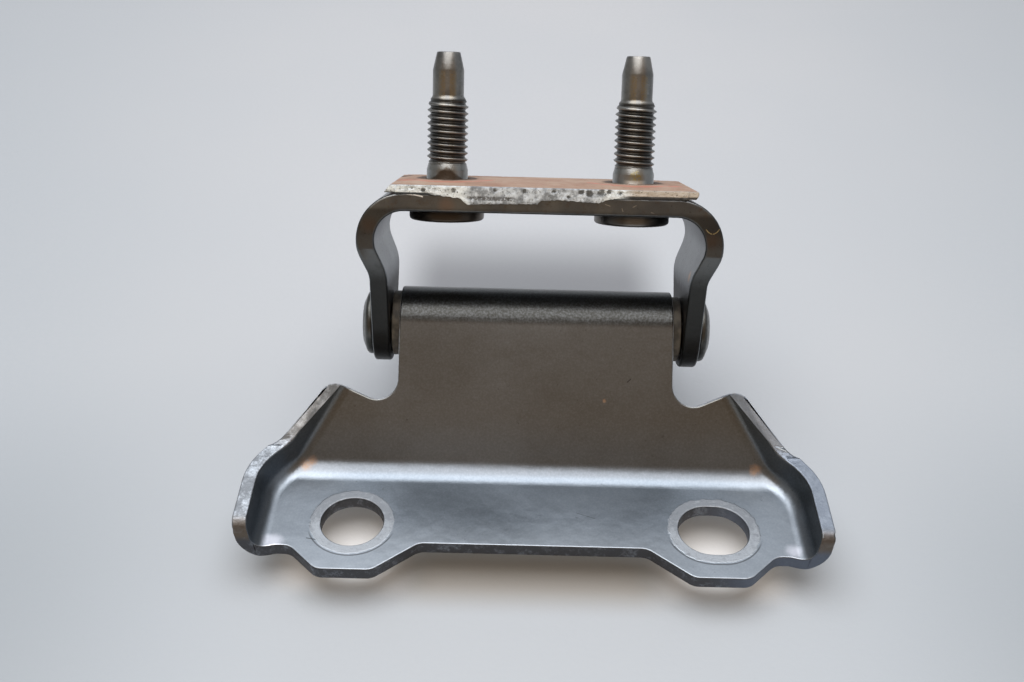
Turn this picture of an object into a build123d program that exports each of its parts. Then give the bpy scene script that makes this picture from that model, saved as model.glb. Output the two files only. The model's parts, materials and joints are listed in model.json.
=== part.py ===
from build123d import *
import math
import os

os.makedirs("parts", exist_ok=True)

# Tailgate hinge, in millimetres.
# The origin lies midway between the two bolt holes, on the face that bolts to the gate.
# Z is the normal of that face, X runs along the hinge pin and Y points back to the pin.

# Gate bracket sheet
sheet = 2.6
bend_inner = 3.0
fold_inner = 6.0

# Gate bracket, bolt holes
hole_spacing = 66.5
hole_diameter = 11.5
slot_length = 13.0

# Gate bracket, plan of the tray: places along Y
tray_front = -7.0
tray_corner_y = 9.0
tray_corner_radius = 12.0
cheek_angle = 48.0
wall_flare = 8.0
wall_height = 6.0
wall_end_radius = 0.8

# Gate bracket, front edge: half widths and places along Y
edge_middle_y = -4.9
edge_middle_half = 20.6
tab_front_y = -11.3
tab_inner_half = 28.6
tab_outer_half = 38.6
tab_slope_run = 5.3
relief_width = 2.6
relief_to_wall = 3.7
relief_y = -6.1
edge_radius = 3.0

# Gate bracket, web and tongue: heights are measured up the web
web_angle = 48.0
web_foot_y = 12.6
web_wall_height = 3.2
rim_step_radius = 4.0
cheek_foot_inset = 0.8
cheek_foot_height = 4.5
cheek_foot_radius = 6.0
shoulder_run = 12.5
shoulder_height = 17.4
shoulder_slope = 23.0
shoulder_radius = 2.5
notch_radius = 4.0
tongue_half = 26.6

# Hinge line
eye_height = 29.5
eye_roll = 300.0
pin_radius = 3.75
pin_play = 0.03
bush_wall = 0.97
bush_length = 14.0
bush_flange_radius = 6.4
bush_flange = 1.6
side_play = 0.3
head_radius = 6.3
head_edge = 1.3
head_height = 2.2
head_flat_radius = 4.2

# Roof bracket strap
strap = 3.4
lean = 27.0
strap_depth = 28.0
pivot_drop = 23.6
bend_radius = 5.5
bulge_step = 2.25
crank_angle = 24.0
crank_radius = 5.0
leg_full_drop = 7.0
lobe_radius = 7.5

# Studs
stud_spacing = 36.2
stud_radius = 4.0
stud_thread_radius = 3.95
stud_head_radius = 7.3
stud_head_height = 2.7
stud_head_chamfer = 0.5
stud_shoulder = 2.9
stud_neck_length = 1.2
stud_neck_radius = 3.6
stud_thread_length = 12.3
stud_thread_chamfer = 0.5
stud_dog_radius = 3.0
stud_dog_length = 5.3
stud_tip_radius = 2.2
stud_tip_length = 3.3

# Sealing pad
pad_thickness = 2.0
pad_crown_drop = 0.5
pad_crown_run = 6.0
pad_inset = 1.75
pad_lip = 0.6
pad_lip_inset = 2.0
pad_lip_drop = 1.2
pad_stud_gap = 0.2

# Values that follow from the sizes above
eye_inner = pin_radius + pin_play + bush_wall
eye_outer = eye_inner + sheet
leg_inner_half = tongue_half + bush_flange + side_play
leg_outer_half = leg_inner_half + strap
bulge_half = leg_inner_half + bulge_step
shoulder_half = tongue_half + shoulder_run
pad_half = bulge_half - pad_inset
pad_lip_half = pad_half - pad_lip_inset
pad_edge = pad_thickness - pad_crown_drop
rim_top = sheet + wall_height
relief_inner_half = tab_outer_half + tab_slope_run
relief_outer_half = relief_inner_half + relief_width
tray_half = relief_outer_half + relief_to_wall
cheek_foot_half = tray_half - cheek_foot_inset
reach = 2 * (tray_half + strap_depth)


def tilted(angle):
    """Unit vector in the YZ plane, turned from Y towards Z by the angle in degrees."""
    return Vector(0, math.cos(math.radians(angle)), math.sin(math.radians(angle)))


across = Vector(1, 0, 0)
web_up = tilted(web_angle)
web_out = tilted(web_angle + 90)
lean_back = tilted(-lean)
lean_up = tilted(90 - lean)
web_foot = Vector(0, web_foot_y, sheet)
pivot = web_foot + web_up * eye_height - web_out * eye_outer

# On the web's front face: local X runs across, local Y up the web
web_plane = Plane(origin=web_foot, x_dir=across, z_dir=web_out)
# Through the middle, square to the pin: local X runs up the web, local Y out of its front
eye_plane = Plane(origin=pivot, x_dir=web_up, z_dir=across)
# On the underside of the roof plate, above the pin: local Y runs back
roof_plane = Plane(origin=pivot + lean_up * pivot_drop, x_dir=across, z_dir=lean_up)
# The strap's front face: local X runs across, local Y down the legs
strap_plane = Plane(origin=roof_plane.origin - lean_back * (strap_depth / 2), x_dir=across, z_dir=lean_back)
# Through the middle of the roof bracket: local X runs back, local Y up to the plate
leg_plane = Plane(origin=pivot, x_dir=lean_back, z_dir=across)


def wall_plane(side, turn):
    """Inner face of a wall on one side of the tray: turned in plan from straight out, and flared."""
    flare = math.radians(wall_flare)
    around = math.radians(turn)
    level = Vector(side * math.cos(around), math.sin(around), 0)
    outward = level * math.cos(flare) - Vector(0, 0, math.sin(flare))
    return Plane(origin=(side * tray_half, tray_corner_y, sheet), z_dir=outward)


def tray_block(grow):
    """Solid whose floor, web and walls lie the given amount outside the tray's inside."""
    with BuildPart() as block:
        with Locations((0, 2 * tab_front_y, sheet - grow)):
            Box(reach, reach, 2 * rim_top + eye_height, align=(Align.CENTER, Align.MIN, Align.MIN))
        split(bisect_by=web_plane.offset(-grow), keep=Keep.TOP)
        for side in (-1, 1):
            split(bisect_by=wall_plane(side, 0).offset(grow), keep=Keep.BOTTOM)
            split(bisect_by=wall_plane(side, cheek_angle).offset(grow), keep=Keep.BOTTOM)
        # Only the walls' edges stand within twice the flare of upright; the rear pair are the corners
        corners = edges().filter_by(Axis.Z, tolerance=2 * wall_flare).group_by(Axis.Y)[-1]
        fillet(corners, radius=tray_corner_radius + grow)
        floor = faces().sort_by(Axis.Z)[0]
        fillet(floor.edges().filter_by(Axis.X).sort_by(Axis.Y)[-1], radius=fold_inner + grow)
        floor = faces().sort_by(Axis.Z)[0]
        fillet(floor.edges().filter_by(Axis.X, reverse=True), radius=bend_inner + grow)
    return block.part


# Gate bracket: one stamped sheet with floor, walls, web and a tongue rolled into the eye
step_height = (wall_height - web_wall_height * web_out.Z) / web_up.Z
step_y = web_foot_y + step_height * web_up.Y + web_wall_height * web_out.Y
wall_tip = web_foot + web_up * (shoulder_height + notch_radius) + web_out * web_wall_height
notch_height = shoulder_height - (shoulder_half - tongue_half) * math.tan(math.radians(shoulder_slope))

with BuildPart() as gate_bracket:
    add(tray_block(sheet))
    add(tray_block(0), mode=Mode.SUBTRACT)
    # Side view: the walls' top edge steps down from the flange's height to the web's
    with BuildSketch(Plane.YZ) as rim_outline:
        with BuildLine():
            rim = FilletPolyline(
                (2 * tab_front_y, rim_top),
                (step_y, rim_top),
                (wall_tip.Y, wall_tip.Z),
                radius=rim_step_radius,
            )
            Polyline(rim @ 1, (reach, wall_tip.Z), (reach, -sheet), (2 * tab_front_y, -sheet), rim @ 0)
        make_face()
    extrude(amount=reach, both=True, mode=Mode.INTERSECT)
    # Seen square to the web: shoulders, notches and the start of the tongue
    with BuildSketch(web_plane) as web_outline:
        with BuildLine():
            shoulder = FilletPolyline(
                (reach, cheek_foot_height),
                (cheek_foot_half, cheek_foot_height),
                (shoulder_half, shoulder_height),
                (tongue_half, notch_height),
                (tongue_half, shoulder_height + notch_radius),
                radius=[cheek_foot_radius, shoulder_radius, notch_radius],
            )
            Polyline(shoulder @ 1, (0, shoulder_height + notch_radius), (0, -reach), (reach, -reach), shoulder @ 0)
        make_face()
        mirror(about=Plane(web_plane.origin, x_dir=web_plane.y_dir, z_dir=across))
    extrude(amount=reach, both=True, mode=Mode.INTERSECT)
    # Plan view: tabs under the holes and a straight edge between them
    with BuildSketch(Plane.XY) as front_outline:
        with BuildLine():
            edge = FilletPolyline(
                (0, edge_middle_y),
                (edge_middle_half, edge_middle_y),
                (tab_inner_half, tab_front_y),
                (tab_outer_half, tab_front_y),
                (relief_inner_half, relief_y),
                (relief_outer_half, relief_y),
                (relief_outer_half + edge_radius, tray_front),
                (reach, tray_front),
                radius=edge_radius,
            )
            Polyline(edge @ 1, (reach, reach), (0, reach), edge @ 0)
        make_face()
        mirror(about=Plane.YZ)
    extrude(amount=reach, both=True, mode=Mode.INTERSECT)
    wall_ends = edges().filter_by(Axis.X).filter_by_position(Axis.Z, rim_top - sheet / 2, rim_top + sheet / 2)
    fillet(wall_ends.group_by(Axis.Y)[0], radius=wall_end_radius)
    # Tongue and rolled eye
    with BuildSketch(eye_plane) as eye_profile:
        strip = eye_height - shoulder_height
        with BuildLine():
            Line((-strip, eye_outer), (0, eye_outer))
            outer_roll = CenterArc((0, 0), eye_outer, 90, -eye_roll)
            inner_roll = CenterArc((0, 0), eye_inner, 90, -eye_roll)
            Line(outer_roll @ 1, inner_roll @ 1)
            Line((0, eye_inner), (-strip, eye_inner))
            Line((-strip, eye_inner), (-strip, eye_outer))
        make_face()
    extrude(amount=tongue_half, both=True)
    # Bolt holes: a round one on the left and a slot along X on the right
    with BuildSketch(Plane.XY) as bolt_holes:
        with Locations((-hole_spacing / 2, 0)):
            Circle(hole_diameter / 2)
        with Locations((hole_spacing / 2, 0)):
            SlotOverall(slot_length, hole_diameter)
    extrude(amount=sheet, mode=Mode.SUBTRACT)

gate_bracket.part.label = "gate_bracket"
export_step(gate_bracket.part, "parts/gate_bracket.step")


def strap_surface(grow):
    """Half of the strap's profile, the given amount outside its inner surface."""
    crank = math.radians(crank_angle)
    centre = bulge_half - bend_radius
    radius = bend_radius + grow
    leg = leg_inner_half + grow
    corner = centre + radius * (1 + math.sin(crank)) / math.cos(crank)
    crank_drop = bend_radius + (radius - (leg - centre) * math.cos(crank)) / math.sin(crank)
    return FilletPolyline(
        (0, -grow),
        (corner, -grow),
        (leg, crank_drop),
        (leg, pivot_drop + 2 * lobe_radius),
        radius=[radius, crank_radius + strap - grow],
    )


# Roof bracket: a strap bent to a U, with legs that taper to round lobes
with BuildPart() as roof_bracket:
    with BuildSketch(strap_plane) as strap_profile:
        with BuildLine():
            outside = strap_surface(strap)
            inside = strap_surface(0)
            Line(outside @ 1, inside @ 1)
            Line(inside @ 0, outside @ 0)
        make_face()
        mirror(about=Plane(strap_plane.origin, x_dir=strap_plane.y_dir, z_dir=across))
    extrude(amount=strap_depth)
    with BuildSketch(leg_plane) as leg_outline:
        Circle(lobe_radius)
        with Locations((0, pivot_drop + strap - (leg_full_drop + strap) / 2)):
            Rectangle(strap_depth, leg_full_drop + strap)
        make_hull()
    extrude(amount=reach, both=True, mode=Mode.INTERSECT)
    with BuildSketch(leg_plane):
        Circle(pin_radius)
    extrude(amount=reach, both=True, mode=Mode.SUBTRACT)
    with BuildSketch(roof_plane):
        with GridLocations(stud_spacing, 1, 2, 1):
            Circle(stud_radius)
    extrude(amount=strap, mode=Mode.SUBTRACT)

roof_bracket.part.label = "roof_bracket"
export_step(roof_bracket.part, "parts/roof_bracket.step")

# Hinge pin: its shank fills the legs' holes and a bevelled head is formed outside each leg
with BuildPart() as hinge_pin:
    with BuildSketch(Plane(pivot)) as pin_profile:
        with BuildLine():
            Polyline(
                (0, 0),
                (leg_outer_half + head_height, 0),
                (leg_outer_half + head_height, head_flat_radius),
                (leg_outer_half + head_edge, head_radius),
                (leg_outer_half, head_radius),
                (leg_outer_half, pin_radius),
                (0, pin_radius),
                close=True,
            )
        make_face()
        mirror(about=Plane.YZ)
    revolve(axis=Axis(pivot, across))

hinge_pin.part.label = "hinge_pin"
export_step(hinge_pin.part, "parts/hinge_pin.step")

# Bushes: one pressed into each end of the eye, its flange between tongue and leg
for side_name, side_sign in (("left", -1), ("right", 1)):
    with BuildPart() as bush:
        with BuildSketch(Plane(pivot)) as bush_profile:
            with BuildLine():
                Polyline(
                    (side_sign * (tongue_half - bush_length), pin_radius + pin_play),
                    (side_sign * (tongue_half - bush_length), eye_inner),
                    (side_sign * tongue_half, eye_inner),
                    (side_sign * tongue_half, bush_flange_radius),
                    (side_sign * (tongue_half + bush_flange), bush_flange_radius),
                    (side_sign * (tongue_half + bush_flange), pin_radius + pin_play),
                    close=True,
                )
            make_face()
        revolve(axis=Axis(pivot, across))
    bush.part.label = f"bush_{side_name}"
    export_step(bush.part, f"parts/{bush.part.label}.step")

# Studs: flat head under the plate, shoulder, neck, thread at its outside diameter, pilot and taper
thread_start = strap + pad_thickness + stud_shoulder
thread_end = thread_start + stud_thread_length
dog_end = thread_end + stud_dog_length
for side_name, side_sign in (("left", -1), ("right", 1)):
    stud_foot = roof_plane.origin + across * (side_sign * stud_spacing / 2)
    with BuildPart() as stud:
        with BuildSketch(Plane(origin=stud_foot, x_dir=across, z_dir=-lean_back)) as stud_profile:
            with BuildLine():
                Polyline(
                    (0, -stud_head_height),
                    (stud_head_radius - stud_head_chamfer, -stud_head_height),
                    (stud_head_radius, stud_head_chamfer - stud_head_height),
                    (stud_head_radius, 0),
                    (stud_radius, 0),
                    (stud_radius, thread_start - stud_neck_length),
                    (stud_neck_radius, thread_start),
                    (stud_thread_radius, thread_start),
                    (stud_thread_radius, thread_end - stud_thread_chamfer),
                    (stud_thread_radius - stud_thread_chamfer, thread_end),
                    (stud_dog_radius, thread_end),
                    (stud_dog_radius, dog_end),
                    (stud_tip_radius, dog_end + stud_tip_length),
                    (0, dog_end + stud_tip_length),
                    close=True,
                )
            make_face()
        revolve(axis=Axis(stud_foot, lean_up))
    stud.part.label = f"stud_{side_name}"
    export_step(stud.part, f"parts/{stud.part.label}.step")

# Sealing pad: a crowned layer on the plate with a lip that hangs over the strap's front face
with BuildPart() as seal_pad:
    with BuildSketch(roof_plane.offset(strap)) as pad_plan:
        Rectangle(2 * pad_half, strap_depth)
    extrude(amount=pad_thickness)
    crown = faces().sort_by(Axis((0, 0, 0), lean_up))[-1]
    chamfer(crown.edges(), length=pad_crown_run, length2=pad_crown_drop, reference=crown)
    with BuildSketch(roof_plane.offset(strap)) as pad_holes:
        with GridLocations(stud_spacing, 1, 2, 1):
            Circle(stud_radius + pad_stud_gap)
    extrude(amount=pad_thickness, mode=Mode.SUBTRACT)
    with BuildSketch(strap_plane) as lip_front:
        with Locations((0, (pad_lip_drop - pad_edge) / 2 - strap)):
            Rectangle(2 * pad_lip_half, pad_edge + pad_lip_drop)
    extrude(amount=-pad_lip)

seal_pad.part.label = "seal_pad"
export_step(seal_pad.part, "parts/seal_pad.step")
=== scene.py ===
import bmesh
import bpy
import json
import math
from mathutils import Matrix, Vector, noise
from mathutils.bvhtree import BVHTree


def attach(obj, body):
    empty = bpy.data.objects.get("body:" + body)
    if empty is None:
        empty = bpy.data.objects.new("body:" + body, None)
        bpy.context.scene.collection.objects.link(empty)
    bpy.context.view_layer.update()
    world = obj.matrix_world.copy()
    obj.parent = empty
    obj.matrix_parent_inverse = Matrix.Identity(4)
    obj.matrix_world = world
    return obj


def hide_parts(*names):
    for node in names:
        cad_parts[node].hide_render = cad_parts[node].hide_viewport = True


# Looks of the tailgate hinge, in metres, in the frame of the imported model.
MM = 0.001

# Sizes that the model shares, in millimetres
SHEET = 2.6
STRAP = 3.4
RIM_TOP = 8.6
WALL_FRONT = -7.0
LEG_INNER = 28.5
LEAN = 27.0
HOLE_HALF = 33.25
HOLE_RADIUS = 5.75
SLOT_HALF = 0.75
STUD_HALF = 18.1
PIVOT_DROP = 23.6
STRAP_DEPTH = 28.0
PAD_THICKNESS = 2.0
PAD_EDGE = 1.5
PAD_HALF = 29.0
STUD_SHOULDER = 2.9
STUD_THREAD = 12.3

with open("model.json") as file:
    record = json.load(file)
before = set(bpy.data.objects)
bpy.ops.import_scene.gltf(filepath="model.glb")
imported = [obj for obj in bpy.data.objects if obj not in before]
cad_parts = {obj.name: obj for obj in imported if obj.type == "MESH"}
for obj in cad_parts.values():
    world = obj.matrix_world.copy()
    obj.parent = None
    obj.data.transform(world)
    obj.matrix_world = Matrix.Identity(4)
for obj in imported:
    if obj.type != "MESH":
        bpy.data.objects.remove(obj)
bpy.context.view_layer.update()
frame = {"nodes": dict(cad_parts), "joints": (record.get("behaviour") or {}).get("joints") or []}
joint = frame["joints"][0]
PIVOT = Vector(joint["pos_m"])
ACROSS = Vector((1, 0, 0))
BACK = Vector((0, 1, 0))
UP = Vector((0, 0, 1))
LEAN_BACK = Vector((0, math.cos(math.radians(LEAN)), -math.sin(math.radians(LEAN))))
LEAN_UP = Vector((0, math.sin(math.radians(LEAN)), math.cos(math.radians(LEAN))))
ROOF = PIVOT + LEAN_UP * PIVOT_DROP * MM


def on_roof(across, depth, height):
    """Place in millimetres of a point across, back from the plate's middle and up from its underside."""
    return ROOF * 1000 + ACROSS * across + LEAN_BACK * depth + LEAN_UP * height


def link(name, data):
    """New object in the scene."""
    added = bpy.data.objects.new(name, data)
    bpy.context.scene.collection.objects.link(added)
    return added


# Camera, at the photograph's viewing angle
CAMERA_PLACE = Vector((-0.0047, -0.143068, 0.162002))
CAMERA_DOWN = 39.0
CAMERA_ROLL = 1.42
FOCAL_SHARE = 1150 / 1024
SENSOR = 36.0


def make_camera():
    """Camera that looks at the hinge from where the photograph was taken."""
    data = bpy.data.cameras.new("camera")
    data.sensor_fit = "HORIZONTAL"
    data.sensor_width = SENSOR
    data.lens = SENSOR * FOCAL_SHARE
    data.clip_start = 0.005
    data.clip_end = 20
    camera = link("camera", data)
    turn = Matrix.Rotation(math.radians(90 - CAMERA_DOWN), 4, "X")
    roll = Matrix.Rotation(math.radians(CAMERA_ROLL), 4, "Z")
    camera.matrix_world = Matrix.Translation(CAMERA_PLACE) @ turn @ roll
    bpy.context.scene.camera = camera


# Node helpers

class Shader:
    """A node tree with short ways to add the nodes that these materials use."""

    def __init__(self, tree):
        self.tree = tree

    def add(self, kind, **settings):
        node = self.tree.nodes.new(kind)
        for name, value in settings.items():
            setattr(node, name, value)
        return node

    def put(self, socket, value):
        """Links a socket to an input or sets its value."""
        if isinstance(value, bpy.types.NodeSocket):
            self.tree.links.new(value, socket)
        elif socket.type == "RGBA" and len(value) == 3:
            socket.default_value = (*value, 1.0)
        else:
            socket.default_value = value

    def math(self, operation, a, b=None, clamp=False):
        node = self.add("ShaderNodeMath", operation=operation, use_clamp=clamp)
        self.put(node.inputs[0], a)
        if b is not None:
            self.put(node.inputs[1], b)
        return node.outputs[0]

    def times(self, *values):
        found = values[0]
        for value in values[1:]:
            found = self.math("MULTIPLY", found, value)
        return found

    def most(self, *values):
        found = values[0]
        for value in values[1:]:
            found = self.math("MAXIMUM", found, value)
        return found

    def length(self, a, b):
        return self.math("SQRT", self.math("ADD", self.times(a, a), self.times(b, b)))

    def about_zero(self, noise_value, reach=1.0):
        """Noise moved to run about zero, and widened by the reach."""
        moved = self.math("SUBTRACT", noise_value, 0.5)
        return moved if reach == 1.0 else self.times(moved, reach)

    def vector(self, operation, a, b=None):
        node = self.add("ShaderNodeVectorMath", operation=operation)
        self.put(node.inputs[0], a)
        if b is not None:
            self.put(node.inputs[1], b)
        gives_number = operation in ("DOT_PRODUCT", "LENGTH", "DISTANCE")
        return node.outputs["Value" if gives_number else "Vector"]

    def scaled(self, vector, factor):
        node = self.add("ShaderNodeVectorMath", operation="SCALE")
        self.put(node.inputs[0], vector)
        self.put(node.inputs["Scale"], factor)
        return node.outputs[0]

    def span(self, value, low, high, out_low=0.0, out_high=1.0):
        """Smooth step from low to high."""
        node = self.add("ShaderNodeMapRange", interpolation_type="SMOOTHSTEP", clamp=True)
        self.put(node.inputs["Value"], value)
        node.inputs["From Min"].default_value = low
        node.inputs["From Max"].default_value = high
        node.inputs["To Min"].default_value = out_low
        node.inputs["To Max"].default_value = out_high
        return node.outputs["Result"]

    def noise(self, vector, scale, detail, rough, seed):
        node = self.add("ShaderNodeTexNoise", noise_dimensions="4D")
        self.put(node.inputs["Vector"], vector)
        node.inputs["W"].default_value = seed
        node.inputs["Scale"].default_value = scale
        node.inputs["Detail"].default_value = detail
        node.inputs["Roughness"].default_value = rough
        return node.outputs["Fac"]

    def blend(self, factor, a, b):
        """Mix of two colours."""
        node = self.add("ShaderNodeMix", data_type="RGBA", clamp_factor=True)
        self.put(node.inputs[0], factor)
        self.put(node.inputs[6], a)
        self.put(node.inputs[7], b)
        return node.outputs[2]

    def mix(self, factor, a, b):
        """Mix of two plain numbers or value sockets."""
        node = self.add("ShaderNodeMix", data_type="FLOAT", clamp_factor=True)
        self.put(node.inputs[0], factor)
        self.put(node.inputs[2], a)
        self.put(node.inputs[3], b)
        return node.outputs[0]

    def bump(self, height, strength, distance, normal=None):
        node = self.add("ShaderNodeBump")
        node.inputs["Strength"].default_value = strength
        node.inputs["Distance"].default_value = distance
        self.put(node.inputs["Height"], height)
        if normal is not None:
            self.put(node.inputs["Normal"], normal)
        return node.outputs[0]

    def millimetres(self):
        """Place on the object in millimetres, in the model's frame."""
        if not hasattr(self, "place"):
            self.place = self.scaled(self.add("ShaderNodeTexCoord").outputs["Object"], 1000.0)
        return self.place

    def along(self, direction, origin=Vector((0, 0, 0))):
        """Distance in millimetres from the origin along a direction."""
        dot = self.vector("DOT_PRODUCT", self.millimetres(), tuple(direction))
        return self.math("SUBTRACT", dot, 1000 * origin.dot(direction))

    def near(self, point, radius, soft, ragged=None):
        """One inside a ball round a point, zero outside, with a soft or ragged rim."""
        distance = self.vector("DISTANCE", self.millimetres(), tuple(point))
        if ragged is not None:
            distance = self.math("ADD", distance, ragged)
        return self.span(distance, radius + soft, radius - soft)

    def streak(self, start, end, width, soft=0.06):
        """One on a thin line between two points, zero away from it."""
        line = Vector(end) - Vector(start)
        offset = self.vector("SUBTRACT", self.millimetres(), tuple(start))
        dot = self.vector("DOT_PRODUCT", offset, tuple(line))
        share = self.math("DIVIDE", dot, line.length_squared, clamp=True)
        distance = self.vector("DISTANCE", offset, self.scaled(tuple(line), share))
        return self.span(distance, width + soft, max(width - soft, 0.0))

    def finish(self, color, roughness, normal, metallic=0.0):
        """Puts what was worked out into the surface."""
        for name, value in (
            ("Base Color", color), ("Metallic", metallic), ("Roughness", roughness), ("Normal", normal),
        ):
            self.put(self.surface.inputs[name], value)


def new_material(name):
    material = bpy.data.materials.new(name)
    material.use_nodes = True
    shader = Shader(material.node_tree)
    shader.surface = material.node_tree.nodes["Principled BSDF"]
    return material, shader


def edge_wear(shader, radius=0.0006, low=0.82, high=0.97):
    """One along convex edges, from the difference between rounded and true normals."""
    rounded = shader.add("ShaderNodeBevel", samples=6)
    rounded.inputs["Radius"].default_value = radius
    true = shader.add("ShaderNodeNewGeometry")
    turn = shader.vector("DOT_PRODUCT", rounded.outputs[0], true.outputs["Normal"])
    return shader.span(turn, high, low)


# Colours that more than one material uses
BARE = (0.62, 0.665, 0.72)
BARE_DULL = (0.28, 0.297, 0.32)
RUST = (0.50, 0.30, 0.17)
SOOT_AND_SHADE = (0.022, 0.020, 0.018)

# Gate bracket
COAT = (0.240, 0.272, 0.310)
COAT_DEEP = (0.198, 0.227, 0.260)
COAT_PAINTED_LIGHT = (0.40, 0.43, 0.465)
COAT_FOLD_SHADE = (0.140, 0.142, 0.146)
COAT_RIGHT_WALL_SHADE = (0.085, 0.090, 0.088)
CHEEK_REFLECTION_TINT = (0.190, 0.170, 0.128)
WEB_REFLECTION_TINT = (0.245, 0.228, 0.192)
EYE_SHADE = (0.040, 0.039, 0.035)
RING_BARE = (0.40, 0.425, 0.455)
EDGE_BARE = (0.66, 0.70, 0.75)
CURL_BARE = (0.74, 0.75, 0.82)
EDGE_COAT = (0.23, 0.25, 0.28)
EDGE_COAT_DEEP = (0.085, 0.086, 0.092)
EDGE_RIGHT_SHADE = (0.22, 0.27, 0.36)
WALL_END_SHADE = (0.165, 0.135, 0.105)
# Distances from a bolt hole's middle, in millimetres
RING_END = HOLE_RADIUS + 1.8
RING_LINE = HOLE_RADIUS + 2.35
# Spots and patches, as (middle, radius, softness), and scratches, as (start, end, width)
RUST_SPOTS = (
    ((-43.7, 13.3, 3.5), 0.9, 0.8), ((-42.6, 13.9, 4.1), 0.8, 0.7),
    ((42.7, 14.1, 4.3), 1.0, 0.6), ((13.4, 22.5, 13.6), 0.35, 0.2),
)
CURL_PATCHES = (((-47.0, -5.3, 2.8), 1.5, 1.1), ((47.2, -4.6, 2.8), 1.2, 0.9))
COAT_SCRATCHES = (
    ((-41.0, -4.3, 2.6), (-39.4, -4.6, 2.6), 0.10),
    ((17.8, 25.0, 16.4), (18.4, 25.4, 16.8), 0.10),
    ((8.0, 3.4, 2.6), (11.5, 2.1, 2.6), 0.03),
)


def coated_sheet():
    """Blue-grey coating of the gate bracket, with worn rings, rust and scratches, and painted light, shade
    and reflection.
    """
    material, s = new_material("coated_sheet")
    p = s.millimetres()
    across = s.along(ACROSS)
    wide = s.math("ABSOLUTE", across)
    back = s.along(BACK)
    height = s.along(UP)
    cloud = s.noise(p, 0.05, 3, 0.5, 1)
    grain = s.noise(p, 2.6, 3, 0.6, 2)
    speck = s.noise(p, 1.1, 4, 0.6, 3)
    mottle = s.noise(p, 0.9, 5, 0.65, 4)
    fine = s.noise(p, 3.0, 4, 0.7, 5)
    ragged = s.about_zero(mottle, 1.3)
    # Browner up the web and on the cheeks beside it, a painted reflection of the dark brown room in front
    color = s.blend(s.span(cloud, 0.3, 0.7), COAT_DEEP, COAT)
    color = s.blend(s.span(height, 5.0, 12.0, 0.0, 0.55), color, WEB_REFLECTION_TINT)
    cheek_reflection = s.times(s.span(height, 8.0, 16.0, 0.0, 0.55), s.span(wide, 27.0, 33.0))
    color = s.blend(cheek_reflection, color, CHEEK_REFLECTION_TINT)
    # Painted light: the flange is a little lighter along its front edge and towards its ends
    level = s.span(height, 5.0, 3.2)
    painted_light = s.most(s.span(back, 3.0, -6.0, 0.0, 0.45), s.span(wide, 30.0, 46.0, 0.0, 0.38))
    color = s.blend(s.times(painted_light, level), color, COAT_PAINTED_LIGHT)
    # Painted shade: the bends and the web are a little darker than the flange, which dims the fold's
    # highlight
    color = s.blend(s.span(height, 2.75, 3.3, 0.0, 0.3), color, COAT_FOLD_SHADE)
    # Painted shade keeps the top of the rolled eye dark, under the roof bracket
    pivot_height = PIVOT.z * 1000
    from_pin = s.vector("MULTIPLY", s.vector("SUBTRACT", p, tuple(PIVOT * 1000)), (0, 1, 1))
    eye_shade = s.times(
        s.span(s.vector("LENGTH", from_pin), 8.4, 7.9),
        s.span(height, pivot_height + 4.4, pivot_height + 5.5),
        s.span(back, 37.2, 35.6, 0.72, 0.94),
    )
    color = s.blend(eye_shade, color, EYE_SHADE)
    # Painted shade: the right wall is darker
    right_wall_shade = s.times(s.span(across, 47.5, 50.5), s.span(height, 3.6, 5.0), 0.6)
    color = s.blend(right_wall_shade, color, COAT_RIGHT_WALL_SHADE)
    color = s.blend(s.span(grain, 0.35, 0.75, 0.0, 0.10), color, BARE)
    color = s.blend(s.span(speck, 0.64, 0.76, 0.0, 0.35), color, SOOT_AND_SHADE)
    # Rings that the bolt heads have worn bare round the holes, each with a dark line round its front
    flange = s.span(height, SHEET - 0.6, SHEET - 0.3)
    rings = []
    lines = []
    for side, half in ((-1, 0.0), (1, SLOT_HALF)):
        x = s.math("SUBTRACT", across, side * HOLE_HALF)
        x = s.math("MAXIMUM", s.math("SUBTRACT", s.math("ABSOLUTE", x), half), 0.0)
        distance = s.length(x, back)
        rings.append(s.span(s.math("ADD", distance, ragged), RING_END + 0.3, RING_END))
        line = s.span(s.math("ABSOLUTE", s.math("SUBTRACT", distance, RING_LINE)), 0.22, 0.05)
        lines.append(s.times(line, s.span(back, -2.0, -4.5)))
    ring = s.times(s.most(*rings), flange, s.span(fine, 0.28, 0.42))
    sheen = s.math("ADD", mottle, s.span(back, 4.0, -5.0, -0.12, 0.14))
    color = s.blend(ring, color, s.blend(s.span(sheen, 0.38, 0.64), BARE_DULL, RING_BARE))
    color = s.blend(s.times(s.most(*lines), flange, 0.6), color, SOOT_AND_SHADE)
    # Wear along the edges
    worn = s.most(s.span(mottle, 0.36, 0.56), s.times(s.span(back, -2.5, -5.0), level))
    color = s.blend(s.times(edge_wear(s), worn), color, EDGE_BARE)
    # Rust at the ends of the fold and where the cheeks meet the web
    spots = s.most(*(s.near(*spot, ragged) for spot in RUST_SPOTS))
    rust = s.times(spots, s.span(fine, 0.25, 0.55), 0.65)
    color = s.blend(rust, color, RUST)
    # Scratches, and bare patches where the flange's corners curl up
    scratch = s.most(*(s.streak(*line) for line in COAT_SCRATCHES))
    color = s.blend(s.times(scratch, 0.65), color, SOOT_AND_SHADE)
    patches = s.most(*(s.near(*patch, ragged) for patch in CURL_PATCHES))
    color = s.blend(s.times(patches, 0.85), color, CURL_BARE)
    # The coating is smoother than the bare rings and the rust
    smooth = s.mix(s.span(cloud, 0.3, 0.7), 0.29, 0.34)
    ripple = s.bump(s.noise(p, 0.35, 2, 0.5, 6), 0.14, 0.00035)
    peel = s.bump(grain, 0.10, 0.00005, ripple)
    scuff = s.bump(s.times(s.math("ADD", fine, ring), ring), 0.35, 0.0001, peel)
    s.finish(color, s.mix(s.most(ring, rust), smooth, 0.50), scuff, 1.0)
    return material


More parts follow.
